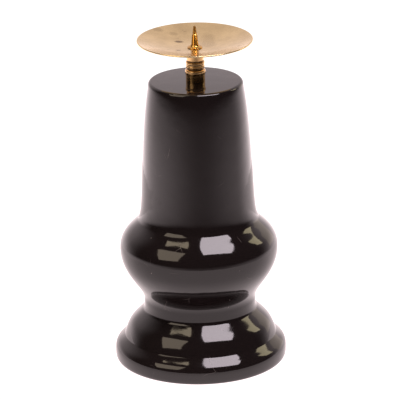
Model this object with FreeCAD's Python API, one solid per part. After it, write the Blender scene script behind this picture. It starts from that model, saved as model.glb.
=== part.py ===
import FreeCAD, Part

import math
import os

# A turned wooden candlestick with a brass stem, a drip pan and a pricket.
#
# Frame: millimetres, +Z up along the turning axis. The origin is the centre of
# the felt's underside, so the candlestick stands on the plane z = 0.
# Every piece is a solid of revolution about Z. It is drawn as a half section,
# a closed outline of (radius, height) points, and turned through a full circle.
#
# A lean is the angle in degrees between a curve, followed upwards, and the
# vertical. It is positive where the surface closes in towards the axis.

# --- Turned body -----------------------------------------------------------
BODY_TOP_HEIGHT = 177.4
TOP_EDGE_ROUNDING = 1.8

FOOT_DIAMETER = 105.0
FOOT_WIDEST_HEIGHT = 5.7
FOOT_EDGE_INSET = 3.0
CREASE_INSET = 6.1
CREASE_RISE = 10.5
CREASE_LEAN_BELOW = 42.0
CREASE_LEAN_ABOVE = 18.0
WAIST_DIAMETER = 68.2
WAIST_HEIGHT = 39.2
WAIST_COVE_WIDTH = 1.0
WAIST_COVE_DROP = 7.1
WAIST_COVE_LEAN = 45.0
BULB_DIAMETER = 96.3
BULB_HEIGHT = 71.6
SHOULDER_RISE = 18.5
SHOULDER_LEAN = 39.0
COLUMN_BASE_DIAMETER = 69.6
COLUMN_BASE_LEAN = 5.2
COLUMN_COVE_WIDTH = 2.3
COLUMN_COVE_RISE = 9.9
COLUMN_TOP_DIAMETER = 57.7
COLUMN_TOP_LEAN = 10.5
BASE_EDGE_LEAN = -85.0

# Pulls of the body's curves, each at its lower and its upper end.
BASE_EDGE_PULLS = (0.45, 0.50)
FOOT_PULLS = (0.50, 0.50)
DOME_PULLS = (0.49, 0.48)
WAIST_COVE_PULLS = (0.26, 0.47)
BULB_PULLS = (0.25, 0.44)
SHOULDER_PULLS = (0.46, 0.29)
COLUMN_COVE_PULLS = (0.21, 0.36)
COLUMN_PULLS = (0.20, 0.35)

# --- Felt under the foot ---------------------------------------------------
FELT_MARGIN = 4.25
FELT_THICKNESS = 1.5
FELT_PROUD = 0.5
FELT_RECESS_CLEARANCE = 0.25

# --- Pricket thread and the insert that takes it ---------------------------
THREAD_DIAMETER = 4.0
THREAD_PITCH = 0.7
THREAD_TURNS_ENGAGED = 10
THREAD_RUNNING_CLEARANCE = 0.05
INSERT_DIAMETER = 7.0
INSERT_LENGTH = 12.0
INSERT_SINK = 0.5
PILOT_HOLE_CLEARANCE = 0.5
PILOT_HOLE_ROOM = 12.5
SHANK_TIP_CHAMFER = 0.5

# --- Brass stem: ferrule, ring and collar, stacked on the wood -------------
STEM_BORE_CLEARANCE = 0.2
FERRULE_HEIGHT = 7.5
FERRULE_DIAMETER = 11.7
FERRULE_BEAD_DIAMETER = 12.4
FERRULE_BEAD_HEIGHT = 3.3
FERRULE_TOP_DIAMETER = 10.6
FERRULE_BEAD_LEAN = -35.0
FERRULE_TOP_LEAN = 70.0
FERRULE_BEAD_PULLS = (0.35, 0.45)
FERRULE_TOP_PULLS = (0.50, 0.35)
GROOVE_DIAMETER = 9.4
LOWER_GROOVE_WIDTH = 0.9
UPPER_GROOVE_WIDTH = 0.8
RING_HEIGHT = 3.9
RING_DIAMETER = 11.5
RING_WAIST_DIAMETER = 10.9
RING_TOP_DIAMETER = 10.6
RING_LIP_HEIGHT = 1.1
RING_COVE_LEAN = 25.0
RING_COVE_PULLS = (0.40, 0.40)
COLLAR_HEIGHT = 6.6
COLLAR_DIAMETER = 10.7
COLLAR_EDGE_ROUNDING = 0.4

# --- Drip pan --------------------------------------------------------------
PAN_DIAMETER = 70.0
PAN_SHEET_THICKNESS = 1.0
PAN_DEPTH = 5.3
PAN_SEAT_DIAMETER = 13.0
PAN_RIM_SLOPE = 16.0
PAN_HOLE_CLEARANCE = 0.2
PAN_PULLS = (0.35, 0.35)

# --- Cup washer and pricket ------------------------------------------------
WASHER_DIAMETER = 9.0
WASHER_HEIGHT = 2.0
WASHER_LIP_THICKNESS = 0.45
WASHER_TOP_DIAMETER = 4.8
WASHER_LIP_LEAN = 72.0
WASHER_TOP_LEAN = 15.0
WASHER_PULLS = (0.45, 0.40)
NECK_DIAMETER = 3.2
NECK_RUNNING_CLEARANCE = 0.05
NECK_UNDERCUT = 0.2
SPIKE_BASE_DIAMETER = 4.2
SPIKE_STEP_DIAMETER = 3.2
SPIKE_STEP_HEIGHT = 6.2
SPIKE_POINT_BASE_DIAMETER = 2.5
SPIKE_STEP_RISE = 0.4
SPIKE_HEIGHT = 11.6
SPIKE_TIP_DIAMETER = 1.6

# A curve that runs level, away from the axis.
LEVEL_OUTWARD = -90.0
# The handle length that brings a cubic curve closest to a quarter circle.
QUARTER_REACH = 0.5523

# --- Heights of the stacked pieces, from the sizes above --------------------
FERRULE_BOTTOM = BODY_TOP_HEIGHT
FERRULE_TOP = FERRULE_BOTTOM + FERRULE_HEIGHT
RING_BOTTOM = FERRULE_TOP + LOWER_GROOVE_WIDTH
RING_TOP = RING_BOTTOM + RING_HEIGHT
COLLAR_BOTTOM = RING_TOP + UPPER_GROOVE_WIDTH
COLLAR_TOP = COLLAR_BOTTOM + COLLAR_HEIGHT
PAN_SEAT_TOP = COLLAR_TOP + PAN_SHEET_THICKNESS
WASHER_TOP = PAN_SEAT_TOP + WASHER_HEIGHT
INSERT_TOP = BODY_TOP_HEIGHT - INSERT_SINK
SHANK_BOTTOM = INSERT_TOP - THREAD_TURNS_ENGAGED * THREAD_PITCH
PILOT_HOLE_BOTTOM = SHANK_BOTTOM - PILOT_HOLE_ROOM

FOOT_RADIUS = FOOT_DIAMETER / 2
BASE_FLAT_RADIUS = FOOT_RADIUS - FOOT_EDGE_INSET
RECESS_RADIUS = BASE_FLAT_RADIUS - FELT_MARGIN
FELT_RADIUS = RECESS_RADIUS - FELT_RECESS_CLEARANCE

SHANK_RADIUS = THREAD_DIAMETER / 2
STEM_BORE_RADIUS = SHANK_RADIUS + STEM_BORE_CLEARANCE
INSERT_BORE_RADIUS = SHANK_RADIUS + THREAD_RUNNING_CLEARANCE
PILOT_HOLE_RADIUS = SHANK_RADIUS + PILOT_HOLE_CLEARANCE
PAN_HOLE_RADIUS = SHANK_RADIUS + PAN_HOLE_CLEARANCE
WASHER_BORE_RADIUS = NECK_DIAMETER / 2 + NECK_RUNNING_CLEARANCE


def point(radius, height):
    """A point of the half section, in the XZ plane."""
    return FreeCAD.Vector(radius, 0, height)


def climb(lean):
    """The unit direction of a curve that climbs with the given lean."""
    angle = math.radians(lean)
    return point(-math.sin(angle), math.cos(angle))


def straight(start, end):
    """A straight edge between two (radius, height) pairs."""
    return Part.LineSegment(point(*start), point(*end)).toShape()


def sweep(start, start_lean, end, end_lean, pulls):
    """A cubic curve that leaves start and reaches end at the given leans.

    Each pull is the length of that end's handle as a share of the chord: a
    larger pull keeps the curve close to its end's direction for longer.
    """
    first, last = point(*start), point(*end)
    chord = (last - first).Length
    leave = first + climb(start_lean) * (chord * pulls[0])
    arrive = last - climb(end_lean) * (chord * pulls[1])
    curve = Part.BezierCurve()
    curve.setPoles([first, leave, arrive, last])
    return curve.toShape()


def rounding(start, corner, end):
    """A quarter-like curve that touches both sides of a corner."""
    first, middle, last = point(*start), point(*corner), point(*end)
    curve = Part.BezierCurve()
    near_first = first + (middle - first) * QUARTER_REACH
    near_last = last + (middle - last) * QUARTER_REACH
    curve.setPoles([first, near_first, near_last, last])
    return curve.toShape()


def turned(edges):
    """The solid that a closed half section makes when it is turned about Z."""
    face = Part.Face(Part.Wire(Part.__sortEdges__(edges)))
    solid = face.revolve(point(0, 0), FreeCAD.Vector(0, 0, 1), 360)
    solid = Part.Solid(solid) if solid.ShapeType == "Shell" else solid
    if solid.Volume < 0:
        solid.reverse()
    return solid


def polygon(points):
    """The straight edges that join the points in turn."""
    return [straight(a, b) for a, b in zip(points, points[1:])]


def drilled(radius, bottom, top):
    """A plain cylinder on the axis, to cut a bore with."""
    return Part.makeCylinder(radius, top - bottom, point(0, bottom))


def turned_body():
    """The wooden body: foot bead, dome, waist, bulb, column and rounded top."""
    base = FELT_PROUD
    flat = (BASE_FLAT_RADIUS, base)
    foot = (FOOT_RADIUS, FOOT_WIDEST_HEIGHT)
    crease = (FOOT_RADIUS - CREASE_INSET, FOOT_WIDEST_HEIGHT + CREASE_RISE)
    waist = (WAIST_DIAMETER / 2, WAIST_HEIGHT)
    dome_top = (waist[0] + WAIST_COVE_WIDTH, WAIST_HEIGHT - WAIST_COVE_DROP)
    bulb = (BULB_DIAMETER / 2, BULB_HEIGHT)
    shoulder_height = BULB_HEIGHT + SHOULDER_RISE
    column_base = (COLUMN_BASE_DIAMETER / 2, shoulder_height + COLUMN_COVE_RISE)
    shoulder = (column_base[0] + COLUMN_COVE_WIDTH, shoulder_height)
    column_top = (COLUMN_TOP_DIAMETER / 2, BODY_TOP_HEIGHT - TOP_EDGE_ROUNDING)
    top_corner = (
        column_top[0] - TOP_EDGE_ROUNDING * math.tan(math.radians(COLUMN_TOP_LEAN)),
        BODY_TOP_HEIGHT,
    )
    top_flat = (top_corner[0] - TOP_EDGE_ROUNDING, BODY_TOP_HEIGHT)
    body = turned([
        straight((0, base), flat),
        sweep(flat, BASE_EDGE_LEAN, foot, 0, BASE_EDGE_PULLS),
        sweep(foot, 0, crease, CREASE_LEAN_BELOW, FOOT_PULLS),
        sweep(crease, CREASE_LEAN_ABOVE, dome_top, WAIST_COVE_LEAN, DOME_PULLS),
        sweep(dome_top, WAIST_COVE_LEAN, waist, 0, WAIST_COVE_PULLS),
        sweep(waist, 0, bulb, 0, BULB_PULLS),
        sweep(bulb, 0, shoulder, SHOULDER_LEAN, SHOULDER_PULLS),
        sweep(shoulder, SHOULDER_LEAN, column_base, COLUMN_BASE_LEAN, COLUMN_COVE_PULLS),
        sweep(column_base, COLUMN_BASE_LEAN, column_top, COLUMN_TOP_LEAN, COLUMN_PULLS),
        rounding(column_top, top_corner, top_flat),
        straight(top_flat, (0, BODY_TOP_HEIGHT)),
        straight((0, BODY_TOP_HEIGHT), (0, base)),
    ])
    felt_recess = drilled(RECESS_RADIUS, 0, FELT_THICKNESS)
    insert_hole = drilled(INSERT_DIAMETER / 2, INSERT_TOP - INSERT_LENGTH, BODY_TOP_HEIGHT)
    pilot_hole = drilled(PILOT_HOLE_RADIUS, PILOT_HOLE_BOTTOM, BODY_TOP_HEIGHT)
    return body.cut([felt_recess, insert_hole, pilot_hole]).removeSplitter()


def base_felt():
    """The felt disc glued into the recess under the foot."""
    return drilled(FELT_RADIUS, 0, FELT_THICKNESS)


def threaded_insert():
    """The brass insert in the top of the wood; its thread is a plain bore."""
    outer = drilled(INSERT_DIAMETER / 2, INSERT_TOP - INSERT_LENGTH, INSERT_TOP)
    return outer.cut(drilled(INSERT_BORE_RADIUS, INSERT_TOP - INSERT_LENGTH, INSERT_TOP))


def stem_ferrule():
    """The lowest brass piece: a short tube with a bead round its top."""
    outer = FERRULE_DIAMETER / 2
    bead_bottom = FERRULE_TOP - FERRULE_BEAD_HEIGHT
    bead_middle = FERRULE_TOP - FERRULE_BEAD_HEIGHT / 2
    bead = (FERRULE_BEAD_DIAMETER / 2, bead_middle)
    top = (FERRULE_TOP_DIAMETER / 2, FERRULE_TOP)
    return turned([
        straight((STEM_BORE_RADIUS, FERRULE_BOTTOM), (outer, FERRULE_BOTTOM)),
        straight((outer, FERRULE_BOTTOM), (outer, bead_bottom)),
        sweep((outer, bead_bottom), FERRULE_BEAD_LEAN, bead, 0, FERRULE_BEAD_PULLS),
        sweep(bead, 0, top, FERRULE_TOP_LEAN, FERRULE_TOP_PULLS),
        straight(top, (STEM_BORE_RADIUS, FERRULE_TOP)),
        straight((STEM_BORE_RADIUS, FERRULE_TOP), (STEM_BORE_RADIUS, FERRULE_BOTTOM)),
    ])


def stem_ring():
    """The middle ring: two lips with a shallow cove, between two plain grooves."""
    groove = GROOVE_DIAMETER / 2
    lip = RING_DIAMETER / 2
    cove = (RING_WAIST_DIAMETER / 2, (RING_BOTTOM + RING_TOP) / 2)
    lower_lip = (lip, RING_BOTTOM + RING_LIP_HEIGHT)
    upper_lip = (lip, RING_TOP - RING_LIP_HEIGHT)
    return turned([
        straight((STEM_BORE_RADIUS, FERRULE_TOP), (groove, FERRULE_TOP)),
        straight((groove, FERRULE_TOP), (groove, RING_BOTTOM)),
        straight((groove, RING_BOTTOM), (RING_TOP_DIAMETER / 2, RING_BOTTOM)),
        rounding((RING_TOP_DIAMETER / 2, RING_BOTTOM), (lip, RING_BOTTOM), lower_lip),
        sweep(lower_lip, RING_COVE_LEAN, cove, 0, RING_COVE_PULLS),
        sweep(cove, 0, upper_lip, -RING_COVE_LEAN, RING_COVE_PULLS),
        rounding(upper_lip, (lip, RING_TOP), (RING_TOP_DIAMETER / 2, RING_TOP)),
        straight((RING_TOP_DIAMETER / 2, RING_TOP), (groove, RING_TOP)),
        straight((groove, RING_TOP), (groove, COLLAR_BOTTOM)),
        straight((groove, COLLAR_BOTTOM), (STEM_BORE_RADIUS, COLLAR_BOTTOM)),
        straight((STEM_BORE_RADIUS, COLLAR_BOTTOM), (STEM_BORE_RADIUS, FERRULE_TOP)),
    ])


def stem_collar():
    """The top collar, a plain cylinder with eased edges that carries the pan."""
    outer = COLLAR_DIAMETER / 2
    eased = outer - COLLAR_EDGE_ROUNDING
    low = COLLAR_BOTTOM + COLLAR_EDGE_ROUNDING
    high = COLLAR_TOP - COLLAR_EDGE_ROUNDING
    return turned([
        straight((STEM_BORE_RADIUS, COLLAR_BOTTOM), (eased, COLLAR_BOTTOM)),
        rounding((eased, COLLAR_BOTTOM), (outer, COLLAR_BOTTOM), (outer, low)),
        straight((outer, low), (outer, high)),
        rounding((outer, high), (outer, COLLAR_TOP), (eased, COLLAR_TOP)),
        straight((eased, COLLAR_TOP), (STEM_BORE_RADIUS, COLLAR_TOP)),
        straight((STEM_BORE_RADIUS, COLLAR_TOP), (STEM_BORE_RADIUS, COLLAR_BOTTOM)),
    ])


def drip_pan():
    """The spun brass pan: a flat seat, a shallow dish and a rounded rim."""
    slope = math.radians(PAN_RIM_SLOPE)
    half = PAN_SHEET_THICKNESS / 2
    seat = PAN_SEAT_DIAMETER / 2
    rim = (PAN_DIAMETER / 2 - half, PAN_SEAT_TOP + PAN_DEPTH - half)
    inner = (rim[0] - half * math.sin(slope), rim[1] + half * math.cos(slope))
    outer = (rim[0] + half * math.sin(slope), rim[1] - half * math.cos(slope))
    lip = point(rim[0] + half * math.cos(slope), rim[1] + half * math.sin(slope))
    dish_lean = PAN_RIM_SLOPE + LEVEL_OUTWARD
    lip_arc = Part.Arc(point(*outer), lip, point(*inner)).toShape()
    return turned([
        straight((PAN_HOLE_RADIUS, COLLAR_TOP), (seat, COLLAR_TOP)),
        sweep((seat, COLLAR_TOP), LEVEL_OUTWARD, outer, dish_lean, PAN_PULLS),
        lip_arc,
        sweep((seat, PAN_SEAT_TOP), LEVEL_OUTWARD, inner, dish_lean, PAN_PULLS),
        straight((seat, PAN_SEAT_TOP), (PAN_HOLE_RADIUS, PAN_SEAT_TOP)),
        straight((PAN_HOLE_RADIUS, PAN_SEAT_TOP), (PAN_HOLE_RADIUS, COLLAR_TOP)),
    ])


def pricket_washer():
    """The flared washer that spreads the pricket's load over the pan."""
    edge = WASHER_DIAMETER / 2
    lip_top = (edge, PAN_SEAT_TOP + WASHER_LIP_THICKNESS)
    top = (WASHER_TOP_DIAMETER / 2, WASHER_TOP)
    return turned([
        straight((WASHER_BORE_RADIUS, PAN_SEAT_TOP), (edge, PAN_SEAT_TOP)),
        straight((edge, PAN_SEAT_TOP), lip_top),
        sweep(lip_top, WASHER_LIP_LEAN, top, WASHER_TOP_LEAN, WASHER_PULLS),
        straight(top, (WASHER_BORE_RADIUS, WASHER_TOP)),
        straight((WASHER_BORE_RADIUS, WASHER_TOP), (WASHER_BORE_RADIUS, PAN_SEAT_TOP)),
    ])


def pricket_spike():
    """The pricket in one piece: threaded shank, neck, stepped cone and tip."""
    neck = NECK_DIAMETER / 2
    shank_top = PAN_SEAT_TOP - NECK_UNDERCUT
    step = WASHER_TOP + SPIKE_STEP_HEIGHT
    point_base = step + SPIKE_STEP_RISE
    tip = SPIKE_TIP_DIAMETER / 2
    tip_top = WASHER_TOP + SPIKE_HEIGHT
    tip_side = (tip, tip_top - tip)
    return turned(polygon([
        (0, SHANK_BOTTOM),
        (SHANK_RADIUS - SHANK_TIP_CHAMFER, SHANK_BOTTOM),
        (SHANK_RADIUS, SHANK_BOTTOM + SHANK_TIP_CHAMFER),
        (SHANK_RADIUS, shank_top),
        (neck, shank_top),
        (neck, WASHER_TOP),
        (SPIKE_BASE_DIAMETER / 2, WASHER_TOP),
        (SPIKE_STEP_DIAMETER / 2, step),
        (SPIKE_POINT_BASE_DIAMETER / 2, point_base),
        tip_side,
    ]) + [
        rounding(tip_side, (tip, tip_top), (0, tip_top)),
        straight((0, tip_top), (0, SHANK_BOTTOM)),
    ])


PIECES = (
    turned_body,
    base_felt,
    threaded_insert,
    stem_ferrule,
    stem_ring,
    stem_collar,
    drip_pan,
    pricket_washer,
    pricket_spike,
)

os.makedirs("parts", exist_ok=True)
for make in PIECES:
    solid = make()
    box = solid.BoundBox
    print(f"{make.__name__:16s} valid {solid.isValid()} solids {len(solid.Solids)} "
          f"volume {solid.Volume:10.1f} z {box.ZMin:7.2f} to {box.ZMax:7.2f} width {box.XLength:6.2f}")
    solid.exportStep(f"parts/{make.__name__}.step")
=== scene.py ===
# %% [markdown]
# # A turned candlestick in black lacquer and brass
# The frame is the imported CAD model: every body keeps its place, and the pieces
# made here are hung on those bodies. Loading it first means that each size can be
# read off a CAD node instead of being guessed.

import math

import bpy
import numpy as np
from mathutils import Matrix, Vector


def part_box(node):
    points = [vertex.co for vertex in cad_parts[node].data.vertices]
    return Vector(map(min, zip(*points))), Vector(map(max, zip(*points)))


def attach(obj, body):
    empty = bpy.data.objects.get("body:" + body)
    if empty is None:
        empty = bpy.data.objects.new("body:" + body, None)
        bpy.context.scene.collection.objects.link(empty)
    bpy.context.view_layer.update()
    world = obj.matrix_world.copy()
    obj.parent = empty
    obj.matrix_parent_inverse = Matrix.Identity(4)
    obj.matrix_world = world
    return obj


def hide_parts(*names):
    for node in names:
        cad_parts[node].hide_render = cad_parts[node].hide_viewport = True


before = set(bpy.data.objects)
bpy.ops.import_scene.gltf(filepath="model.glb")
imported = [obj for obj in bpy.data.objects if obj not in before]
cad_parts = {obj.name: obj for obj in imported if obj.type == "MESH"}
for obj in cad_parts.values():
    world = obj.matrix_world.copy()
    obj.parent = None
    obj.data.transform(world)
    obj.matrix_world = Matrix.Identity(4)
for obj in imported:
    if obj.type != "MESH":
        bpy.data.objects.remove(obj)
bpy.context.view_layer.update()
MM = 0.001

# %% [markdown]
# ## The camera
# A product picture is taken from some distance with a long lens, so that a tall
# thing keeps its proportions. The camera stands in front, looks down by about 20
# degrees and is turned about its own axis by a degree. A camera that is placed
# by its distance, height and three angles is easier to adjust than one that tracks.

# %% Camera
CAMERA_PLACE = (0.00122, -2.160, 0.86658)
CAMERA_LOOKS_DOWN = 19.514
CAMERA_ROLL = -1.16
CAMERA_LENS = 339.3
SENSOR_WIDTH = 36.0

camera_data = bpy.data.cameras.new("camera")
camera_data.lens = CAMERA_LENS
camera_data.sensor_width = SENSOR_WIDTH
camera = bpy.data.objects.new("camera", camera_data)
turn_down = Matrix.Rotation(math.radians(90 - CAMERA_LOOKS_DOWN), 4, "X")
roll = Matrix.Rotation(math.radians(CAMERA_ROLL), 4, "Z")
camera.matrix_world = Matrix.Translation(CAMERA_PLACE) @ turn_down @ roll
bpy.context.scene.collection.objects.link(camera)
bpy.context.scene.camera = camera
bpy.context.scene.view_settings.view_transform = "Standard"
print("camera", [round(v, 3) for v in camera.location], "lens", CAMERA_LENS)

# %% [markdown]
# ## Two small helpers for node trees
# Every finish below is a node tree. `add` makes one node of any kind, sets its own
# settings and fills its sockets, with a plain value or with another node's output.
# Colours are written as sRGB hex values, as a paint chart gives them, and `srgb`
# turns them into the linear numbers that light is added up in.

# %% Node and colour helpers
def add(tree, kind, sockets=None, **settings):
    """Adds a node. A socket takes a value, or the output that is linked to it."""
    node = tree.nodes.new(kind)
    for name, value in settings.items():
        setattr(node, name, value)
    for socket, value in (sockets or {}).items():
        if isinstance(value, bpy.types.NodeSocket):
            tree.links.new(value, node.inputs[socket])
        else:
            node.inputs[socket].default_value = value
    return node


def srgb(code):
    """The linear colour of a hex code: c/12.92 below 0.04045, else ((c+0.055)/1.055)^2.4."""
    c = np.array([int(code[i:i + 2], 16) for i in (1, 3, 5)]) / 255
    linear = np.where(c <= 0.04045, c / 12.92, ((c + 0.055) / 1.055) ** 2.4)
    return (*linear.tolist(), 1.0)


print("mid grey is", [round(v, 3) for v in srgb("#808080")[:3]])

# %% [markdown]
# ## The studio
# Gloss black shows only what it mirrors, so the room matters as much as the paint.
# The room is bright at the sides and behind, dark behind the camera, and the light
# falls off just under the horizon in front. It is one formula of direction, put in
# the world's shader, because a real room of walls would stand in the way of other
# views.

# %% World
world = bpy.data.worlds.new("studio")
world.use_nodes = True
bpy.context.scene.world = world
sky = world.node_tree
sky.nodes.clear()

heading = add(sky, "ShaderNodeTexCoord").outputs["Generated"]
parts = add(sky, "ShaderNodeSeparateXYZ", {0: heading})
toward_camera = add(sky, "ShaderNodeMath", {0: parts.outputs["Y"], 1: -1.0}, operation="MULTIPLY")
sideways = add(sky, "ShaderNodeMath", {0: parts.outputs["X"]}, operation="ABSOLUTE")
azimuth = add(sky, "ShaderNodeMath", {0: sideways.outputs[0], 1: toward_camera.outputs[0]},
              operation="ARCTAN2").outputs[0]
elevation = add(sky, "ShaderNodeMath", {0: parts.outputs["Z"]}, operation="ARCSINE").outputs[0]


def between(value, low, high, start, end):
    """The socket values that carry a smooth step from start at low to end at high, in degrees."""
    return {"Value": value, "From Min": math.radians(low), "From Max": math.radians(high),
            "To Min": start, "To Max": end}


smooth = {"interpolation_type": "SMOOTHSTEP"}
# A ring of light lies under the horizon: dim in front, full at the sides and behind.
front_low = add(sky, "ShaderNodeMapRange", between(azimuth, 0, 90, 0.30, 1.16), **smooth)
side_low = add(sky, "ShaderNodeMapRange", between(azimuth, 80, 150, 0.0, 0.72), **smooth)
ring = add(sky, "ShaderNodeMath", {0: front_low.outputs[0], 1: side_low.outputs[0]},
           operation="ADD")
upper_edge = add(sky, "ShaderNodeMapRange", between(elevation, -9, 0, 1.0, 0.0), **smooth)
lower_part = add(sky, "ShaderNodeMapRange", between(elevation, -18, -8, 1.45, 1.0), **smooth)
below = add(sky, "ShaderNodeMath", {0: upper_edge.outputs[0], 1: lower_part.outputs[0]},
            operation="MULTIPLY")
# Behind, the walls carry that light up past the horizon, and less of it near the ceiling.
walls = add(sky, "ShaderNodeMapRange", between(azimuth, 95, 140, 0.0, 1.0), **smooth)
wall_foot = add(sky, "ShaderNodeMapRange", between(elevation, -8, 16, 1.0, 0.5), **smooth)
wall_top = add(sky, "ShaderNodeMapRange", between(elevation, 16, 60, 1.0, 0.75), **smooth)
wall_height = add(sky, "ShaderNodeMath", {0: wall_foot.outputs[0], 1: wall_top.outputs[0]},
                  operation="MULTIPLY")
wall_light = add(sky, "ShaderNodeMath", {0: walls.outputs[0], 1: wall_height.outputs[0]},
                 operation="MULTIPLY")
share = add(sky, "ShaderNodeMath", {0: below.outputs[0], 1: wall_light.outputs[0]},
            operation="MAXIMUM")
# In front the left is brighter than the right.
one_side = add(sky, "ShaderNodeMapRange", {"Value": parts.outputs["X"],
                                           "From Min": -0.4, "From Max": 0.5,
                                           "To Min": 1.10, "To Max": 0.64}, **smooth)
to_the_back = add(sky, "ShaderNodeMapRange", between(azimuth, 85, 125, 0.0, 1.0), **smooth)
lopsided = add(sky, "ShaderNodeMix", {0: to_the_back.outputs[0], 2: one_side.outputs[0], 3: 1.0})
lit_ring = add(sky, "ShaderNodeMath", {0: ring.outputs[0], 1: lopsided.outputs[0]},
               operation="MULTIPLY")
level = add(sky, "ShaderNodeMath", {0: lit_ring.outputs[0], 1: share.outputs[0]},
            operation="MULTIPLY")
ROOM_TINT = srgb("#FFEEF0")
DARK_ROOM = 0.03
BACKDROP_LEVEL = 1.2
level_in_room = add(sky, "ShaderNodeMath", {0: level.outputs[0], 1: DARK_ROOM}, operation="ADD")
room = add(sky, "ShaderNodeBackground", {"Color": ROOM_TINT, "Strength": level_in_room.outputs[0]})
backdrop = add(sky, "ShaderNodeBackground", {"Color": (1, 1, 1, 1), "Strength": BACKDROP_LEVEL})
seen = add(sky, "ShaderNodeLightPath").outputs["Is Camera Ray"]
mixed = add(sky, "ShaderNodeMixShader", {0: seen, 1: room.outputs[0], 2: backdrop.outputs[0]})
add(sky, "ShaderNodeOutputWorld", {"Surface": mixed.outputs[0]})
print("world nodes", len(sky.nodes))

# %% [markdown]
# ## Soft boxes
# Each bright shape in the lacquer is a rectangle of light. A rectangular area light
# is the plainest way to make one: it lights the scene and is mirrored, and it can be
# hidden from the camera. Its place is a centre, and the directions of its width and
# height.

# %% Lights
def soft_box(name, centre, along, up, width, height, radiance, tint):
    """A rectangular light whose face looks against along x up. A lamp of power P and
    area A has the radiance P / (4 A), so its power is 4 A times the radiance."""
    lamp = bpy.data.lights.new(name, "AREA")
    lamp.shape = "RECTANGLE"
    lamp.size, lamp.size_y = width, height
    lamp.energy = 4 * width * height * radiance
    lamp.color = srgb(tint)[:3]
    x = Vector(along).normalized()
    z = x.cross(Vector(up)).normalized()
    y = z.cross(x)
    light = bpy.data.objects.new(name, lamp)
    light.matrix_world = Matrix.Translation(centre) @ Matrix((x, y, z)).transposed().to_4x4()
    light.visible_camera = False
    bpy.context.scene.collection.objects.link(light)
    return light


# Each row: name, centre, direction of the width, direction of the height (metres), width,
# height, radiance, tint.
SOFT_BOXES = (
    ("key", (0.735, -0.690, 1.727), (0.972, 0.234, 0.001), (-0.022, 0.923, 0.384),
     1.32, 0.74, 8.2, "#FFF1F9"),
    ("left_low", (-1.229, -1.023, 1.201), (0.669, -0.695, 0.263), (0.535, 0.648, 0.542),
     1.13, 1.25, 2.0, "#FFEBD2"),
    ("left_high", (-0.636, -0.206, 1.885), (0.830, -0.536, 0.153), (0.292, 0.879, 0.378),
     0.85, 0.62, 3.1, "#FFEBCC"),
    ("right_window", (1.615, 0.620, 1.004), (-0.376, 0.723, -0.580), (-0.965, -0.207, 0.160),
     0.50, 0.76, 3.0, "#FFEFC4"),
    ("right_wall", (1.339, 1.428, 0.410), (-0.538, 0.831, -0.144), (-0.084, -0.146, 0.986),
     0.80, 0.84, 0.35, "#FFEBC0"),
)
for row in SOFT_BOXES:
    print("light", soft_box(*row).name, "width and height", row[4:6])

# %% [markdown]
# ## The floor
# The candlestick stands on a white table that is lit from within, which is how a
# picture without a shadow is made. It is a disc that glows and also scatters some
# light, so a trace of contact shadow stays. Within 50 to 110 mm of the axis the glow
# is stronger: painted light, a pool round the foot that fills its contact shadow and
# brightens the floor that the foot mirrors.

# %% Floor
FLOOR_RADIUS = 0.40
FLOOR_CORNERS = 128
floor_angles = np.linspace(0, 2 * np.pi, FLOOR_CORNERS, endpoint=False)
floor_ring = np.stack([np.cos(floor_angles), np.sin(floor_angles), 0 * floor_angles], 1)
floor_mesh = bpy.data.meshes.new("floor")
floor_mesh.from_pydata((floor_ring * FLOOR_RADIUS).tolist(), [], [list(range(FLOOR_CORNERS))])
floor = bpy.data.objects.new("floor", floor_mesh)
bpy.context.scene.collection.objects.link(floor)

lit_table = bpy.data.materials.new("opal_acrylic_light_table")
lit_table.use_nodes = True
table = lit_table.node_tree
table.nodes.clear()
on_table = add(table, "ShaderNodeTexCoord").outputs["Object"]
from_middle = add(table, "ShaderNodeVectorMath", {0: on_table}, operation="LENGTH")
# Painted light: the glow is 1.45 under and near the foot and falls to 1.05 by 110 mm from the axis.
glow_with_painted_pool = add(table, "ShaderNodeMapRange", {"Value": from_middle.outputs["Value"],
                                         "From Min": 0.050, "From Max": 0.110,
                                         "To Min": 1.45, "To Max": 1.05}, **smooth)
backward = add(table, "ShaderNodeSeparateXYZ", {0: on_table})
far_glow = add(table, "ShaderNodeMapRange", {"Value": backward.outputs["Y"],
                                             "From Min": -0.04, "From Max": 0.16,
                                             "To Min": 0.0, "To Max": 0.5}, **smooth)
both = add(table, "ShaderNodeMath", {0: glow_with_painted_pool.outputs[0], 1: far_glow.outputs[0]}, operation="ADD")
table_shader = add(table, "ShaderNodeBsdfPrincipled", {
    "Base Color": srgb("#6A6A6A"), "Roughness": 0.9, "Specular IOR Level": 0.0,
    "Emission Color": ROOM_TINT, "Emission Strength": both.outputs[0]})
add(table, "ShaderNodeOutputMaterial", {"Surface": table_shader.outputs[0]})
floor_mesh.materials.append(lit_table)
print("floor radius", FLOOR_RADIUS)

# %% [markdown]
# ## Outlines
# Every piece of this candlestick came off a lathe or a spinning chuck, so each is one
# outline of (radius, height) points turned about the axis. Outlines are made of two
# things: straight runs and smooth sweeps. A sweep is a cubic curve that is set by the
# way it leans at its two ends, which is how a turner judges a shape.

# %% Curves of an outline
def sweep(start, start_lean, end, end_lean, pulls, steps=24):
    """Points of the cubic (1-t)^3 A + 3(1-t)^2 t B + 3(1-t) t^2 C + t^3 D, where A and D
    are the ends and B and C lie on their tangents, a share of the chord away. A lean
    is the angle to the vertical, positive where the curve closes in as it climbs."""
    a, d = np.array(start, float), np.array(end, float)
    chord = np.linalg.norm(d - a)
    first, last = np.radians([start_lean, end_lean])
    b = a + chord * pulls[0] * np.array([-np.sin(first), np.cos(first)])
    c = d - chord * pulls[1] * np.array([-np.sin(last), np.cos(last)])
    t = np.linspace(0, 1, steps + 1)[:, None]
    return (1 - t) ** 3 * a + 3 * (1 - t) ** 2 * t * b + 3 * (1 - t) * t ** 2 * c + t ** 3 * d


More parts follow.
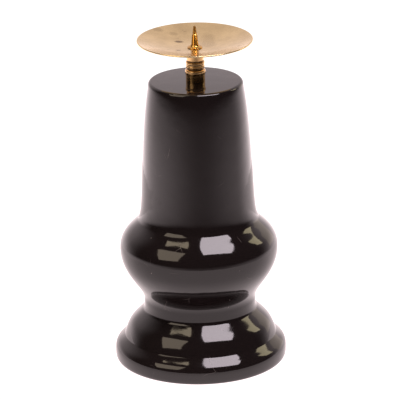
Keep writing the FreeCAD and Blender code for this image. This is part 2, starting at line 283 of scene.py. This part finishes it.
def outline(*runs):
    """Joins points and curves into one array and drops points that repeat."""
    points = np.vstack([np.atleast_2d(run) for run in runs])
    step = np.linalg.norm(np.diff(points, axis=0), axis=1)
    return points[np.concatenate([[True], step > 1e-6])]


CORNER_POINTS = 7
SUPPORT_REACH = 1.15
MOST_OF_A_SIDE = 0.4


def eased(points, radius, closed=False, sharp=18.0):
    """Rounds each corner that turns by more than `sharp` degrees. Corner C becomes the
    quadratic (1-t)^2 P + 2t(1-t) C + t^2 Q, with P and Q on its two sides at the easing
    distance, and one more point beyond P and Q keeps the flats flat when shaded."""
    before, after = np.roll(points, 1, 0) - points, np.roll(points, -1, 0) - points
    long_before, long_after = np.linalg.norm(before, axis=1), np.linalg.norm(after, axis=1)
    to_before, to_after = before / long_before[:, None], after / long_after[:, None]
    turn = np.degrees(np.arccos(np.clip(-(to_before * to_after).sum(1), -1, 1)))
    corner = turn > sharp
    if not closed:
        corner[[0, -1]] = False
    reach = np.minimum(radius, MOST_OF_A_SIDE * np.minimum(long_before, long_after)) * corner
    count = np.where(corner, CORNER_POINTS, 1)
    which = np.repeat(np.arange(len(points)), count)
    place = np.arange(count.sum()) - np.repeat(np.cumsum(count) - count, count)
    t = np.where(count[which] == 1, 0.5, np.clip((place - 1) / (CORNER_POINTS - 3), 0, 1))[:, None]
    beyond = (place == 0) | (place == CORNER_POINTS - 1)
    far = np.where(beyond, SUPPORT_REACH, 1.0)[:, None] * reach[which][:, None]
    p = points[which] + to_before[which] * far
    q = points[which] + to_after[which] * far
    return (1 - t) ** 2 * p + 2 * t * (1 - t) * points[which] + t ** 2 * q


print("a quarter sweep has", len(sweep((1, 0), 0, (0, 1), 90, (0.55, 0.55))), "points")

# %% [markdown]
# ## Turning an outline
# The lathe is a grid: one row for each point of the outline, one column for each step
# round the axis. An outline that starts and ends on the axis gets a single point at
# each pole, and a closed outline, such as a ring's, joins its last row to its first.
# Rows run up the outside and down the inside, which makes every face look outward.

# %% The lathe
def lathe(name, points, turns, closed=False, shape=None):
    """A mesh whose vertex (i, j) is (r cos a, r sin a, z), with a = 2 pi j / turns. `shape`
    may change radius and height as a function of both parameters. Sizes are in mm."""
    angle = np.linspace(0, 2 * np.pi, turns, endpoint=False)[None, :]
    radius = points[:, :1] + 0 * angle
    height = points[:, 1:] + 0 * angle
    if shape is not None:
        radius, height = shape(radius, height, angle)
    grid = np.stack([radius * np.cos(angle), radius * np.sin(angle), height], 2) * MM
    rows = len(points) if closed else len(points) - 2
    body = grid if closed else grid[1:-1]
    i = np.arange(rows if closed else rows - 1)[:, None]
    j = np.arange(turns)[None, :]
    up, on = (i + 1) % rows, (j + 1) % turns
    quads = np.stack([i * turns + j, i * turns + on, up * turns + on, up * turns + j], 2)
    vertices, faces = body.reshape(-1, 3), quads.reshape(-1, 4).tolist()
    if not closed:
        poles = np.array([grid[0].mean(0), grid[-1].mean(0)])
        low, high, last = len(vertices), len(vertices) + 1, (rows - 1) * turns
        ring, after = j.ravel(), (j.ravel() + 1) % turns
        faces += np.stack([ring * 0 + low, after, ring], 1).tolist()
        faces += np.stack([ring * 0 + high, last + ring, last + after], 1).tolist()
        vertices = np.vstack([vertices, poles])
    mesh = bpy.data.meshes.new(name)
    mesh.from_pydata(vertices.tolist(), [], faces)
    mesh.polygons.foreach_set("use_smooth", np.ones(len(mesh.polygons), bool))
    mesh.update()
    piece = bpy.data.objects.new(name, mesh)
    bpy.context.scene.collection.objects.link(piece)
    print(f"{name}: {len(mesh.vertices)} vertices, {len(mesh.polygons)} faces")
    return piece


def thread(pitch, depth, low, high, sign):
    """A right-hand thread between two heights. The radius changes by depth times the
    triangle wave of (z / pitch - a / 2 pi), which fades in over one pitch at each end."""
    def cut(radius, height, angle):
        phase = (height / pitch - angle / (2 * np.pi)) % 1.0
        fade = np.clip((height - low) / pitch, 0, 1) * np.clip((high - height) / pitch, 0, 1)
        return radius + sign * depth * np.abs(2 * phase - 1) * fade, height
    return cut


def span(node):
    """Bottom, top and radius of a turned CAD node, in millimetres."""
    low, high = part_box(node)
    return low.z / MM, high.z / MM, high.x / MM


for node in sorted(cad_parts):
    print(node, "bottom, top, radius", [round(v, 2) for v in span(node)])

# %% [markdown]
# ## Finish: gloss black lacquer over ebonised wood
# The body is turned from a close-grained hardwood such as beech, stained black and
# sprayed with gloss lacquer. The lacquer is the surface that is seen: nearly black and
# slightly brown, sharp in its reflections, which break up a little at their edges
# because a sprayed film is never quite level. Age adds hairline scratches and small
# pale specks of wax and dust.

# %% Lacquer
def new_finish(name):
    """An empty material with its tree, and its surface coordinates in metres."""
    finish = bpy.data.materials.new(name)
    finish.use_nodes = True
    finish.node_tree.nodes.clear()
    place = add(finish.node_tree, "ShaderNodeTexCoord").outputs["Object"]
    return finish, finish.node_tree, place


def finish_with(tree, shader):
    """Links a shader to the material's output."""
    add(tree, "ShaderNodeOutputMaterial", {"Surface": shader.outputs[0]})


lacquer, tree, place = new_finish("gloss_black_lacquer_on_ebonised_beech")

# Pores and figure of the wood under the film: 0.5 mm across the grain, 25 mm along it.
along_grain = add(tree, "ShaderNodeMapping", {"Vector": place, "Scale": (2000, 2000, 40)})
grain = add(tree, "ShaderNodeTexNoise", {"Vector": along_grain.outputs[0], "Scale": 1.0,
                                         "Detail": 3.0})
ground = add(tree, "ShaderNodeMix", {0: grain.outputs["Fac"], 6: srgb("#151010"),
                                     7: srgb("#1A1515")}, data_type="RGBA")

# Specks: one small dot in some of the cells of a 9 mm lattice, each about 0.5 mm wide.
specks = add(tree, "ShaderNodeTexVoronoi", {"Vector": place, "Scale": 110.0, "Randomness": 1.0})
dot = add(tree, "ShaderNodeMapRange", {"Value": specks.outputs["Distance"], "From Min": 0.020,
                                       "From Max": 0.038, "To Min": 1.0, "To Max": 0.0})
lottery = add(tree, "ShaderNodeSeparateColor", {0: specks.outputs["Color"]})
chosen = add(tree, "ShaderNodeMath", {0: lottery.outputs[0], 1: 0.62}, operation="GREATER_THAN")
speck = add(tree, "ShaderNodeMath", {0: dot.outputs[0], 1: chosen.outputs[0]}, operation="MULTIPLY")

# Hairline scratches: the cell walls of a coarse lattice, thin, and kept only in patches.
bent = add(tree, "ShaderNodeTexNoise", {"Vector": place, "Scale": 60.0, "Detail": 1.0})
bend = add(tree, "ShaderNodeVectorMath", {0: bent.outputs["Color"], "Scale": 0.006},
           operation="SCALE")
bent_place = add(tree, "ShaderNodeVectorMath", {0: place, 1: bend.outputs[0]}, operation="ADD")
walls_of_cells = add(tree, "ShaderNodeTexVoronoi", {"Vector": bent_place.outputs[0], "Scale": 55.0},
                     feature="DISTANCE_TO_EDGE")
hairline = add(tree, "ShaderNodeMapRange", {"Value": walls_of_cells.outputs["Distance"],
                                            "From Min": 0.0, "From Max": 0.007,
                                            "To Min": 1.0, "To Max": 0.0})
patches = add(tree, "ShaderNodeTexNoise", {"Vector": place, "Scale": 75.0, "Detail": 0.0})
patch = add(tree, "ShaderNodeMapRange", {"Value": patches.outputs["Fac"], "From Min": 0.66,
                                         "From Max": 0.72, "To Min": 0.0, "To Max": 0.35})
scratch = add(tree, "ShaderNodeMath", {0: hairline.outputs[0], 1: patch.outputs[0]},
              operation="MULTIPLY")

marks = add(tree, "ShaderNodeMath", {0: speck.outputs[0], 1: scratch.outputs[0]},
            operation="MAXIMUM")
colour = add(tree, "ShaderNodeMix", {0: marks.outputs[0], 6: ground.outputs[2], 7: srgb("#8C8480")},
             data_type="RGBA")

# Rubbed areas are a little less glossy, in patches about 15 mm wide.
rubbed = add(tree, "ShaderNodeTexNoise", {"Vector": place, "Scale": 65.0, "Detail": 4.0})
gloss = add(tree, "ShaderNodeMapRange", {"Value": rubbed.outputs["Fac"], "From Min": 0.35,
                                         "From Max": 0.75, "To Min": 0.05, "To Max": 0.10})
dulled = add(tree, "ShaderNodeMath", {0: marks.outputs[0], 1: 0.4, 2: gloss.outputs[0]},
             operation="MULTIPLY_ADD")

# The film's level: swells about 12 mm wide and 0.03 mm high, and a finer orange peel.
swell = add(tree, "ShaderNodeTexNoise", {"Vector": place, "Scale": 85.0, "Detail": 1.5})
level_1 = add(tree, "ShaderNodeBump", {"Height": swell.outputs["Fac"], "Strength": 1.0,
                                       "Distance": 0.00010})
peel = add(tree, "ShaderNodeTexNoise", {"Vector": place, "Scale": 700.0, "Detail": 1.0})
level_2 = add(tree, "ShaderNodeBump", {"Height": peel.outputs["Fac"], "Strength": 1.0,
                                       "Distance": 0.000006, "Normal": level_1.outputs[0]})
raised = add(tree, "ShaderNodeBump", {"Height": marks.outputs[0], "Strength": 0.6,
                                      "Distance": 0.00003, "Normal": level_2.outputs[0]})
shader = add(tree, "ShaderNodeBsdfPrincipled", {
    "Base Color": colour.outputs[2], "Roughness": dulled.outputs[0], "IOR": 1.5,
    "Normal": raised.outputs[0]})
finish_with(tree, shader)
print(lacquer.name, len(tree.nodes), "nodes")

# %% [markdown]
# ## Finish: brass
# The pan is spun brass sheet, the stem and the pricket are turned brass bar. They share
# one recipe and differ in numbers: the metal's colour, how far it has tarnished in spots,
# how far painted shade darkens its grooves and narrow parts, how deep the tool marks
# are, and how polished it is. Tool marks follow the lathe, so they are a noise of height
# and distance from the axis, and hold still as the angle changes. The pan also carries a
# few larger stains where wax and water stood.

# %% Brass recipe
def brass(name, metal, tarnish_and_shade_colour, spots, polish, mark_depth, mark_width, cast,
          painted_shade_radii=(0, 0.01), stains=()):
    """Brass with tool marks round the axis. Marks are a noise of (radius, height), in
    bands mark_width mm wide and mark_depth mm deep. Tarnish covers where a slow noise
    passes the level `spots`, and `cast` is how far it shades the rest. Painted shade in
    the same dark colour darkens the grooves and narrow parts near the axis: fully below the
    first of the two shade radii and not at all beyond the second, in mm. Tarnish also
    covers each of the `stains`: an x, a y, a half length, a half width, in mm, and a depth
    from 0 to 1, which fades from the middle of an ellipse to its ragged edge."""
    finish, tree, place = new_finish(name)
    axis = add(tree, "ShaderNodeSeparateXYZ", {0: place})
    flat = add(tree, "ShaderNodeCombineXYZ", {0: axis.outputs[0], 1: axis.outputs[1]})
    from_axis = add(tree, "ShaderNodeVectorMath", {0: flat.outputs[0]}, operation="LENGTH")
    band = add(tree, "ShaderNodeCombineXYZ", {0: from_axis.outputs["Value"], 2: axis.outputs[2]})
    marks = add(tree, "ShaderNodeTexNoise", {"Vector": band.outputs[0],
                                             "Scale": 1 / (mark_width * MM), "Detail": 2.0})
    slow = add(tree, "ShaderNodeTexNoise", {"Vector": place, "Scale": 90.0, "Detail": 4.0,
                                            "Roughness": 0.6})
    fine = add(tree, "ShaderNodeTexNoise", {"Vector": place, "Scale": 900.0, "Detail": 2.0})
    spot = add(tree, "ShaderNodeMapRange", {"Value": slow.outputs["Fac"], "From Min": spots,
                                            "From Max": spots + 0.10, "To Min": 0.0, "To Max": 1.0})
    veil = add(tree, "ShaderNodeMapRange", {"Value": slow.outputs["Fac"], "From Min": 0.35,
                                            "From Max": 0.65, "To Min": 0.0, "To Max": cast})
    stain = add(tree, "ShaderNodeMath", {0: spot.outputs[0], 1: veil.outputs[0]},
                operation="MAXIMUM")
    # Painted shade: the dark colour fills the grooves and narrow parts near the axis, in full
    # within the first radius and fading out by the second.
    full, none = painted_shade_radii[0] * MM, painted_shade_radii[1] * MM
    painted_hollow_shade = add(tree, "ShaderNodeMapRange", {"Value": from_axis.outputs["Value"],
                                                 "From Min": full, "From Max": none,
                                                 "To Min": 1.0, "To Max": 0.0})
    stain = add(tree, "ShaderNodeMath", {0: stain.outputs[0], 1: painted_hollow_shade.outputs[0]},
                operation="MAXIMUM")
    for x, y, half_length, half_width, depth in stains:
        offset = add(tree, "ShaderNodeVectorMath", {0: flat.outputs[0], 1: (x * MM, y * MM, 0)},
                     operation="SUBTRACT")
        to_circle = (1 / (half_length * MM), 1 / (half_width * MM), 1)
        shrunk = add(tree, "ShaderNodeVectorMath", {0: offset.outputs[0], 1: to_circle},
                     operation="MULTIPLY")
        away = add(tree, "ShaderNodeVectorMath", {0: shrunk.outputs[0]}, operation="LENGTH")
        ragged = add(tree, "ShaderNodeMath", {0: slow.outputs["Fac"], 1: 0.9,
                                              2: away.outputs["Value"]}, operation="MULTIPLY_ADD")
        inside = add(tree, "ShaderNodeMapRange", {"Value": ragged.outputs[0], "From Min": 0.9,
                                                  "From Max": 1.4, "To Min": depth, "To Max": 0.0})
        stain = add(tree, "ShaderNodeMath", {0: stain.outputs[0], 1: inside.outputs[0]},
                    operation="MAXIMUM")
    colour = add(tree, "ShaderNodeMix", {0: stain.outputs[0], 6: srgb(metal), 7: srgb(tarnish_and_shade_colour)},
                 data_type="RGBA")
    base = add(tree, "ShaderNodeMapRange", {"Value": fine.outputs["Fac"],
                                            "From Min": 0.3, "From Max": 0.7,
                                            "To Min": polish * 0.85, "To Max": polish * 1.2})
    rough = add(tree, "ShaderNodeMath", {0: stain.outputs[0], 1: 0.16, 2: base.outputs[0]},
                operation="MULTIPLY_ADD")
    bump = add(tree, "ShaderNodeBump", {"Height": marks.outputs["Fac"], "Strength": 1.0,
                                        "Distance": mark_depth * MM})
    shader = add(tree, "ShaderNodeBsdfPrincipled", {
        "Base Color": colour.outputs[2], "Metallic": 1.0, "Roughness": rough.outputs[0],
        "Normal": bump.outputs[0]})
    finish_with(tree, shader)
    return finish


# Painted shade darkens the stem's grooves, narrow necks and bore: fully within 4.6 mm of the axis,
# fading out by 5.4 mm.
stem_brass = brass("turned_brass_stem", "#D8B17A", "#4A3822", spots=0.62, polish=0.20,
                   mark_depth=0.0025, mark_width=0.25, cast=0.28, painted_shade_radii=(4.6, 5.4))
# Each stain: x, y, half length and half width in mm, and depth.
PAN_STAINS = ((-9.5, 10.8, 3.6, 2.2, 0.85), (-9.9, -5.5, 2.6, 1.6, 0.75), (-23, 23, 5, 3.5, 0.35),
              (-12.6, 21, 4, 3, 0.30), (8, 9, 7, 16, 0.28))
pan_brass = brass("spun_brass_sheet", "#E2CA98", "#6E5A40", spots=0.66, polish=0.20,
                  mark_depth=0.0010, mark_width=0.60, cast=0.20, stains=PAN_STAINS)
# Painted shade darkens the pricket's needle and tip: fully within 0.5 mm of the axis, fading out by
# 1.6 mm.
pricket_brass = brass("turned_brass_pricket", "#DFAE5C", "#6B4A1E", spots=0.64, polish=0.16,
                      mark_depth=0.002, mark_width=0.22, cast=0.30, painted_shade_radii=(0.5, 1.6))
insert_brass = brass("free_cutting_brass_insert", "#CFA860", "#806038", spots=0.66, polish=0.26,
                     mark_depth=0.002, mark_width=0.20, cast=0.2)
print("brass finishes", [m.name for m in (stem_brass, pan_brass, pricket_brass, insert_brass)])

# %% [markdown]
# ## Finish: pressed wool felt
# Felt has no weave: its fibres lie every way, so it is a soft, matt surface with short
# curved hairs. Sheen gives the pale bloom that fibres show at a glancing angle.

# %% Felt
felt, tree, place = new_finish("pressed_wool_felt")
fibres = add(tree, "ShaderNodeTexNoise", {"Vector": place, "Scale": 1600.0, "Detail": 5.0,
                                          "Distortion": 1.2})
tufts = add(tree, "ShaderNodeTexNoise", {"Vector": place, "Scale": 260.0, "Detail": 3.0})
colour = add(tree, "ShaderNodeMix", {0: tufts.outputs["Fac"], 6: srgb("#20261F"),
                                     7: srgb("#3A4237")}, data_type="RGBA")
nap = add(tree, "ShaderNodeBump", {"Height": fibres.outputs["Fac"], "Strength": 1.0,
                                   "Distance": 0.0003})
shader = add(tree, "ShaderNodeBsdfPrincipled", {
    "Base Color": colour.outputs[2], "Roughness": 0.95, "Sheen Weight": 0.5, "Sheen Roughness": 0.5,
    "Normal": nap.outputs[0]})
finish_with(tree, shader)
print(felt.name, len(tree.nodes), "nodes")

# %% [markdown]
# ## Hanging a piece on the frame
# A new piece stands for a CAD node: it rides on the same body, hides the node, and
# takes its finish as its material.

# %% Fit helper
def fit(piece, finish, body, node):
    """Gives a piece its finish and its place in the frame."""
    piece.data.materials.append(finish)
    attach(piece, body)
    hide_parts(node)


# %% [markdown]
# ## The turned body
# One billet, turned between centres: a foot bead, a dome, a waist, a bulb and a long
# tapering column. It could be a stack of primitives, but the eye follows the unbroken
# reflections over the curves, so it is one outline with dense rows. Under the foot a
# recess takes the felt, and a bore in the top takes the brass insert.

# %% Body
body_bottom, body_top, foot_radius = span("turned_body")
felt_bottom, felt_top, felt_radius = span("base_felt")
insert_bottom, insert_top, insert_radius = span("threaded_insert")
FELT_GAP = 0.25
PILOT_RADIUS, PILOT_DEPTH = 2.5, 7.5
FOOT_EDGE_INSET, FOOT_WIDEST_RISE, FOOT_EDGE_LEAN = 3.0, 5.2, -85
CREASE_INSET, CREASE_RISE, LEAN_BELOW_CREASE, LEAN_ABOVE_CREASE = 6.1, 15.7, 42, 18
DOME_TOP_RADIUS, DOME_TOP_RISE, DOME_TOP_LEAN = 35.1, 31.6, 45
WAIST_RADIUS, WAIST_RISE = 34.1, 38.7
BULB_RADIUS, BULB_RISE = 48.15, 71.1
SHOULDER_RADIUS, SHOULDER_RISE, SHOULDER_LEAN = 37.1, 89.6, 39
COLUMN_BASE_RADIUS, COLUMN_BASE_RISE, COLUMN_BASE_LEAN = 34.8, 99.5, 5.2
COLUMN_TOP_RADIUS, COLUMN_TOP_LEAN, TOP_EASING = 28.85, 10.5, 1.8
BODY_EASING = 0.35
BODY_TURNS = 256

recess_radius = felt_radius + FELT_GAP
flat = (foot_radius - FOOT_EDGE_INSET, body_bottom)
foot = (foot_radius, body_bottom + FOOT_WIDEST_RISE)
crease = (foot_radius - CREASE_INSET, body_bottom + CREASE_RISE)
dome_top = (DOME_TOP_RADIUS, body_bottom + DOME_TOP_RISE)
waist = (WAIST_RADIUS, body_bottom + WAIST_RISE)
bulb = (BULB_RADIUS, body_bottom + BULB_RISE)
shoulder = (SHOULDER_RADIUS, body_bottom + SHOULDER_RISE)
column_base = (COLUMN_BASE_RADIUS, body_bottom + COLUMN_BASE_RISE)
column_top = (COLUMN_TOP_RADIUS, body_top - TOP_EASING)
corner_radius = COLUMN_TOP_RADIUS - TOP_EASING * math.tan(math.radians(COLUMN_TOP_LEAN))
top_flat = (corner_radius - TOP_EASING, body_top)

body_outline = outline(
    (0, felt_top), (recess_radius, felt_top), (recess_radius, body_bottom), flat,
    sweep(flat, FOOT_EDGE_LEAN, foot, 0, (0.45, 0.50), 16),
    sweep(foot, 0, crease, LEAN_BELOW_CREASE, (0.50, 0.50), 32),
    sweep(crease, LEAN_ABOVE_CREASE, dome_top, DOME_TOP_LEAN, (0.49, 0.48), 44),
    sweep(dome_top, DOME_TOP_LEAN, waist, 0, (0.26, 0.47), 24),
    sweep(waist, 0, bulb, 0, (0.25, 0.44), 52),
    sweep(bulb, 0, shoulder, SHOULDER_LEAN, (0.46, 0.29), 44),
    sweep(shoulder, SHOULDER_LEAN, column_base, COLUMN_BASE_LEAN, (0.21, 0.36), 30),
    sweep(column_base, COLUMN_BASE_LEAN, column_top, COLUMN_TOP_LEAN, (0.20, 0.35), 34),
    sweep(column_top, COLUMN_TOP_LEAN, top_flat, 90, (0.39, 0.39), 12),
    (insert_radius, body_top), (insert_radius, insert_bottom), (PILOT_RADIUS, insert_bottom),
    (PILOT_RADIUS, insert_bottom - PILOT_DEPTH), (0, insert_bottom - PILOT_DEPTH),
)
body = lathe("lacquered_body", eased(body_outline, BODY_EASING), BODY_TURNS)
fit(body, lacquer, "candlestick", "turned_body")

# %% [markdown]
# ## The felt
# A disc of pressed felt is glued into the recess and stands half a millimetre proud, so
# that the wood never touches the table. It is cut from a sheet, so its edge is slightly
# furry and its faces are not quite level.

# %% Felt disc
FELT_FUZZ = 0.12
FELT_EASING = 0.3
FELT_TURNS = 192


def furry(radius, height, angle):
    """Draws the edge in and the faces together by sums of sines in angle and radius."""
    ripple = np.sin(23 * angle) + np.sin(41 * angle + 1.3) + np.sin(67 * angle + radius)
    inward = FELT_FUZZ * (0.5 + ripple / 6) * (radius > 0.9 * felt_radius)
    across, back = 0.9 * radius * np.cos(angle), radius * np.sin(angle)
    dimple = FELT_FUZZ * (0.5 + np.sin(across) * np.sin(back) / 2)
    middle = (felt_bottom + felt_top) / 2
    rim = radius > 0.98 * felt_radius
    return radius - inward, height + np.sign(middle - height) * dimple * ~rim


felt_rows = np.linspace(1, felt_radius - 0.6, 40)
felt_outline = outline(
    (0, felt_bottom), np.stack([felt_rows, 0 * felt_rows + felt_bottom], 1),
    (felt_radius, felt_bottom), (felt_radius, felt_top),
    np.stack([felt_rows[::-1], 0 * felt_rows + felt_top], 1), (0, felt_top))
pad = lathe("felt_base", eased(felt_outline, FELT_EASING), FELT_TURNS, shape=furry)
fit(pad, felt, "candlestick", "base_felt")
print("felt radius", round(felt_radius, 2), "mm")

# %% [markdown]
# ## The threaded insert
# A brass bush with a coarse wood thread outside and the pricket's fine thread inside. It
# is sunk in the top of the wood, out of sight, and takes the pull of the screw.

# %% Insert
INSERT_BORE = 2.05
COARSE_PITCH, COARSE_DEPTH = 1.6, 0.45
FINE_PITCH, FINE_DEPTH_IN_BORE = 0.7, 0.30
INSERT_TURNS = 72


def insert_threads(radius, height, angle):
    """The coarse thread cuts into the outside, the fine one into the bore's wall."""
    ends = insert_bottom, insert_top
    coarse, _ = thread(COARSE_PITCH, COARSE_DEPTH, *ends, -1)(radius, height, angle)
    fine, _ = thread(FINE_PITCH, FINE_DEPTH_IN_BORE, *ends, 1)(radius, height, angle)
    outside = radius > (insert_radius + INSERT_BORE) / 2
    return np.where(outside, coarse, fine), height


insert_rows = np.linspace(insert_bottom, insert_top, 150)
insert_outline = outline(
    np.stack([0 * insert_rows + insert_radius, insert_rows], 1),
    np.stack([0 * insert_rows + INSERT_BORE, insert_rows[::-1]], 1))
insert = lathe("brass_insert", insert_outline, INSERT_TURNS, closed=True, shape=insert_threads)
fit(insert, insert_brass, "candlestick", "threaded_insert")

# %% [markdown]
# ## The brass stem
# Three turned rings stand on the wood under the pan: a ferrule with a bead, a ring with
# two lips, and a plain collar. Each is a separate piece with its corners broken by the
# file, and the shadow line between two of them comes from a real groove and from painted
# shade, the brass being darkened within 5.4 mm of the axis.

# %% Stem
STEM_BORE = 2.2
STEM_TURNS = 128
FERRULE_RADIUS, BEAD_HEIGHT, BEAD_LEAN, FERRULE_TOP_LEAN = 5.85, 3.3, -35, 70
NARROW_RADIUS = 5.3
FERRULE_EASING, RING_EASING, COLLAR_EASING = 0.12, 0.08, 0.4
ferrule_bottom, ferrule_top, bead_radius = span("stem_ferrule")
bead_low, bead_mid = ferrule_top - BEAD_HEIGHT, ferrule_top - BEAD_HEIGHT / 2
ferrule_outline = outline(
    (STEM_BORE, ferrule_bottom), (FERRULE_RADIUS, ferrule_bottom), (FERRULE_RADIUS, bead_low),
    sweep((FERRULE_RADIUS, bead_low), BEAD_LEAN, (bead_radius, bead_mid), 0, (0.35, 0.45), 12),
    sweep((bead_radius, bead_mid), 0, (NARROW_RADIUS, ferrule_top), FERRULE_TOP_LEAN,
          (0.5, 0.35), 14),
    (STEM_BORE, ferrule_top))
ferrule = lathe("brass_ferrule", eased(ferrule_outline, FERRULE_EASING, closed=True), STEM_TURNS,
                closed=True)
fit(ferrule, stem_brass, "candlestick", "stem_ferrule")

ring_bottom, ring_top, ring_radius = span("stem_ring")
LOW_GROOVE, HIGH_GROOVE, GROOVE_RADIUS = 0.9, 0.8, 4.7
LIP_HEIGHT, COVE_RADIUS, COVE_LEAN = 1.1, 5.45, 25
low_lip, high_lip = ring_bottom + LOW_GROOVE, ring_top - HIGH_GROOVE
low_crest, high_crest = (ring_radius, low_lip + LIP_HEIGHT), (ring_radius, high_lip - LIP_HEIGHT)
cove = (COVE_RADIUS, (low_lip + high_lip) / 2)
ring_outline = outline(
    (STEM_BORE, ring_bottom), (GROOVE_RADIUS, ring_bottom), (GROOVE_RADIUS, low_lip),
    (NARROW_RADIUS, low_lip),
    sweep((NARROW_RADIUS, low_lip), -90, low_crest, 0, (0.28, 0.5), 10),
    sweep(low_crest, COVE_LEAN, cove, 0, (0.4, 0.4), 8),
    sweep(cove, 0, high_crest, -COVE_LEAN, (0.4, 0.4), 8),
    sweep(high_crest, 0, (NARROW_RADIUS, high_lip), 90, (0.5, 0.28), 10),
    (GROOVE_RADIUS, high_lip), (GROOVE_RADIUS, ring_top), (STEM_BORE, ring_top))
stem_ring = lathe("brass_ring", eased(ring_outline, RING_EASING, closed=True), STEM_TURNS,
                  closed=True)
fit(stem_ring, stem_brass, "candlestick", "stem_ring")

collar_bottom, collar_top, collar_radius = span("stem_collar")
collar_outline = np.array([
    (STEM_BORE, collar_bottom), (collar_radius, collar_bottom),
    (collar_radius, collar_top), (STEM_BORE, collar_top)])
collar = lathe("brass_collar", eased(collar_outline, COLLAR_EASING, closed=True), STEM_TURNS,
               closed=True)
fit(collar, stem_brass, "candlestick", "stem_collar")

# %% [markdown]
# ## The drip pan
# A disc of brass sheet was pressed over a former on the lathe: a flat seat in the middle,
# a shallow dish, and an edge that is rolled smooth. The sheet is 1 mm thick, so the pan
# has a real inside, outside and lip, and a hole for the pricket.

# %% Pan
pan_bottom, pan_top, _ = span("drip_pan")
PAN_RADIUS, PAN_SHEET, PAN_HOLE, SEAT_RADIUS, RIM_SLOPE = 35.0, 1.0, 2.2, 6.5, 16.0
DISH_PULLS, DISH_STEPS = (0.35, 0.35), 44
PAN_EASING, PAN_TURNS = 0.15, 256
half = PAN_SHEET / 2
slope = math.radians(RIM_SLOPE)
rim = np.array([PAN_RADIUS - half, pan_top - half])
across = np.array([math.sin(slope), -math.cos(slope)]) * half
seat_top = pan_bottom + PAN_SHEET
lip_turn = np.linspace(-np.pi / 2, np.pi / 2, 13)[1:-1] + slope
lip = rim + half * np.stack([np.cos(lip_turn), np.sin(lip_turn)], 1)
pan_outline = outline(
    (PAN_HOLE, pan_bottom),
    sweep((SEAT_RADIUS, pan_bottom), -90, rim + across, RIM_SLOPE - 90, DISH_PULLS, DISH_STEPS),
    lip,
    sweep((SEAT_RADIUS, seat_top), -90, rim - across, RIM_SLOPE - 90, DISH_PULLS, DISH_STEPS)[::-1],
    (PAN_HOLE, seat_top))
pan = lathe("brass_pan", eased(pan_outline, PAN_EASING, closed=True), PAN_TURNS, closed=True)
fit(pan, pan_brass, "pan", "drip_pan")

# %% [markdown]
# ## The cup washer and the pricket
# The washer is a small flared cup that spreads the screw's pull over the thin pan. The
# pricket is one piece of bar: a spike to hold the candle, in two steps, and below it the
# threaded shank that goes down through the stem into the insert.

# %% Washer and pricket
washer_bottom, washer_top, washer_radius = span("pricket_washer")
WASHER_BORE, WASHER_EDGE, WASHER_NECK = 1.65, 0.45, 2.4
WASHER_EASING, WASHER_TURNS = 0.10, 96
washer_lip = (washer_radius, washer_bottom + WASHER_EDGE)
washer_outline = outline(
    (WASHER_BORE, washer_bottom), (washer_radius, washer_bottom),
    sweep(washer_lip, 72, (WASHER_NECK, washer_top), 15, (0.45, 0.40), 20),
    (WASHER_BORE, washer_top))
washer = lathe("brass_washer", eased(washer_outline, WASHER_EASING, closed=True), WASHER_TURNS,
               closed=True)
fit(washer, pricket_brass, "washer", "pricket_washer")

shank_bottom, spike_top, _ = span("pricket_spike")
SHANK_RADIUS, SHANK_TIP_RADIUS, NECK_RADIUS, NECK_LENGTH = 2.0, 1.5, 1.6, 0.2
SPIKE_RADIUS, STEP_RISE, STEP_RADIUS = 2.1, 6.2, 1.6
NEEDLE_RISE, NEEDLE_RADIUS, TIP_RADIUS = 6.6, 1.25, 0.8
SHANK_CHAMFER, SHANK_THREAD_DEPTH = 0.5, 0.35
PRICKET_EASING, PRICKET_TURNS = 0.12, 64
shank_top = washer_bottom - NECK_LENGTH
thread_bottom = shank_bottom + SHANK_CHAMFER
thread_rows = np.linspace(thread_bottom, shank_top, 300)
tip = (TIP_RADIUS, spike_top - TIP_RADIUS)
spike_outline = outline(
    (0, shank_bottom), (SHANK_TIP_RADIUS, shank_bottom),
    np.stack([0 * thread_rows + SHANK_RADIUS, thread_rows], 1),
    (NECK_RADIUS, shank_top), (NECK_RADIUS, washer_top), (SPIKE_RADIUS, washer_top),
    (STEP_RADIUS, washer_top + STEP_RISE), (NEEDLE_RADIUS, washer_top + NEEDLE_RISE), tip,
    sweep(tip, 0, (0, spike_top), 90, (0.39, 0.39), 10))
pricket = lathe("brass_pricket", eased(spike_outline, PRICKET_EASING), PRICKET_TURNS,
                shape=thread(FINE_PITCH, SHANK_THREAD_DEPTH, thread_bottom, shank_top, -1))
fit(pricket, pricket_brass, "pricket", "pricket_spike")
